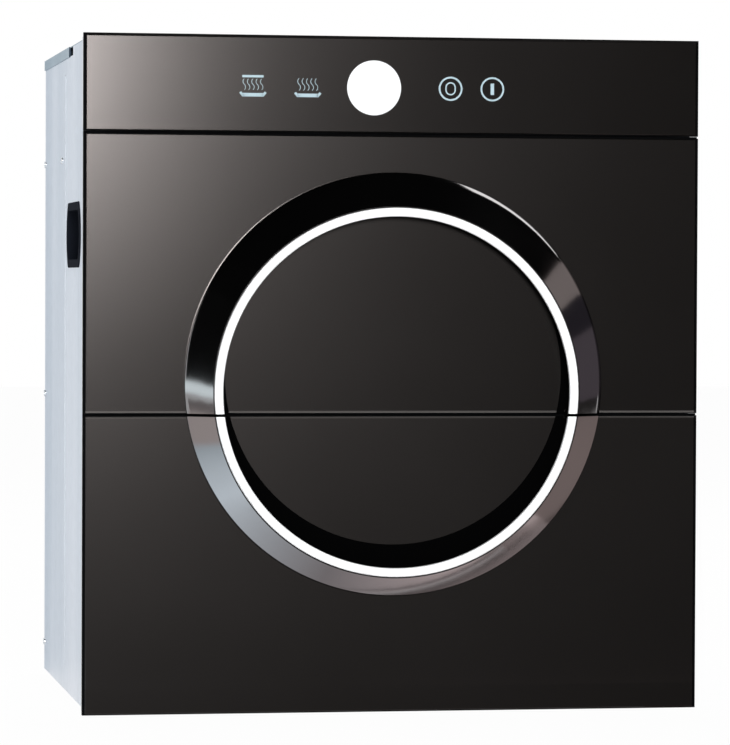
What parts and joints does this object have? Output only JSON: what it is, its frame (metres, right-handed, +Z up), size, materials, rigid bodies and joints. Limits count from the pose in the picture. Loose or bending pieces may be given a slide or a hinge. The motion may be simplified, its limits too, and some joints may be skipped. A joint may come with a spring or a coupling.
{
  "type": "built-in dish dryer",
  "caption": "Built-in dish dryer with a glass control strip over stacked glass-fronted drawers that share a split ring pull, hot-air units behind and a sheet cabinet.",
  "frame": {"origin": "floor level under the middle of the whole box", "axes": "+X to the right seen from the front, +Y to the back, +Z up"},
  "size_m": [0.6, 0.466, 0.652],
  "materials": {
    "galvanised_sheet": "pale galvanised sheet",
    "stainless_sheet": "brushed stainless sheet",
    "pan_steel": "bright coated sheet",
    "dark_glass": "back-painted dark glass",
    "black_moulding": "satin black moulding",
    "frame_moulding": "satin grey moulding",
    "bed_moulding": "black moulding",
    "band_chrome": "polished plating",
    "rim_chrome": "bright plating",
    "rail_zinc": "zinc plated",
    "rack_wire": "polished wire",
    "seal_rubber": "soft rubber",
    "foot_rubber": "hard rubber",
    "screw_steel": "zinc plated",
    "display_white": "lit white lens",
    "board_green": "lacquered board",
    "heater_fins": "plain fins",
    "fan_moulding": "moulded",
    "terminal_moulding": "moulded"
  },
  "bodies": {
    "cabinet": {"base_panel": "galvanised_sheet", "cabinet_screws": "screw_steel", "cable_gland": "black_moulding", "control_frame": "black_moulding", "control_glass": "dark_glass", "control_housing": "pan_steel", "display_module": "display_white", "feet": "foot_rubber", "front_frame": "frame_moulding", "left_grip": "black_moulding", "left_side_panel": "galvanised_sheet", "lower_fan_frame": "fan_moulding", "lower_fixed_rails": "rail_zinc", "lower_heater": "heater_fins", "lower_liner": "stainless_sheet", "power_board": "board_green", "rear_panel": "galvanised_sheet", "right_grip": "black_moulding", "right_side_panel": "galvanised_sheet", "terminal_block": "terminal_moulding", "thermal_cutouts": "heater_fins", "top_cover": "galvanised_sheet", "touch_board": "board_green", "upper_fan_frame": "fan_moulding", "upper_fixed_rails": "rail_zinc", "upper_heater": "heater_fins", "upper_liner": "stainless_sheet"},
    "upper_drawer": {"upper_glass": "dark_glass", "upper_glass_frame": "black_moulding", "upper_front_pan": "pan_steel", "upper_seal": "seal_rubber", "upper_handle_band": "band_chrome", "upper_handle_rim": "rim_chrome", "upper_handle_bed": "bed_moulding", "upper_handle_screws": "screw_steel", "upper_drawer_sides": "stainless_sheet", "upper_rear_bar": "stainless_sheet", "upper_drip_tray": "stainless_sheet", "upper_wire_rack": "rack_wire", "upper_inner_rails": "rail_zinc", "upper_cup_rails": "rack_wire"},
    "lower_drawer": {"lower_glass": "dark_glass", "lower_glass_frame": "black_moulding", "lower_front_pan": "pan_steel", "lower_seal": "seal_rubber", "lower_handle_band": "band_chrome", "lower_handle_rim": "rim_chrome", "lower_handle_bed": "bed_moulding", "lower_handle_screws": "screw_steel", "lower_drawer_sides": "stainless_sheet", "lower_rear_bar": "stainless_sheet", "lower_drip_tray": "stainless_sheet", "lower_wire_rack": "rack_wire", "lower_inner_rails": "rail_zinc", "lower_plate_hoops": "rack_wire"},
    "upper_middle_members": {"upper_middle_rails": "rail_zinc"},
    "lower_middle_members": {"lower_middle_rails": "rail_zinc"},
    "upper_fan": {"upper_fan_rotor": "fan_moulding"},
    "lower_fan": {"lower_fan_rotor": "fan_moulding"}
  },
  "joints": [
    {"name": "upper_drawer_slide", "type": "slide", "parent": "cabinet", "child": "upper_drawer", "axis": [0, -1, 0], "range_m": [0, 0.3]},
    {"name": "upper_middle_slide", "type": "slide", "parent": "cabinet", "child": "upper_middle_members", "axis": [0, -1, 0], "range_m": [0, 0.15]},
    {"name": "upper_fan_spin", "type": "hinge", "parent": "cabinet", "child": "upper_fan", "pos_m": [0, 0.2, 0.42325], "axis": [0, 1, 0], "continuous": true},
    {"name": "lower_drawer_slide", "type": "slide", "parent": "cabinet", "child": "lower_drawer", "axis": [0, -1, 0], "range_m": [0, 0.3]},
    {"name": "lower_middle_slide", "type": "slide", "parent": "cabinet", "child": "lower_middle_members", "axis": [0, -1, 0], "range_m": [0, 0.15]},
    {"name": "lower_fan_spin", "type": "hinge", "parent": "cabinet", "child": "lower_fan", "pos_m": [0, 0.2, 0.1475], "axis": [0, 1, 0], "continuous": true}
  ],
  "couplings": [
    {"joint": "upper_middle_slide", "follows": "upper_drawer_slide", "ratio": 0.5},
    {"joint": "lower_middle_slide", "follows": "lower_drawer_slide", "ratio": 0.5}
  ]
}
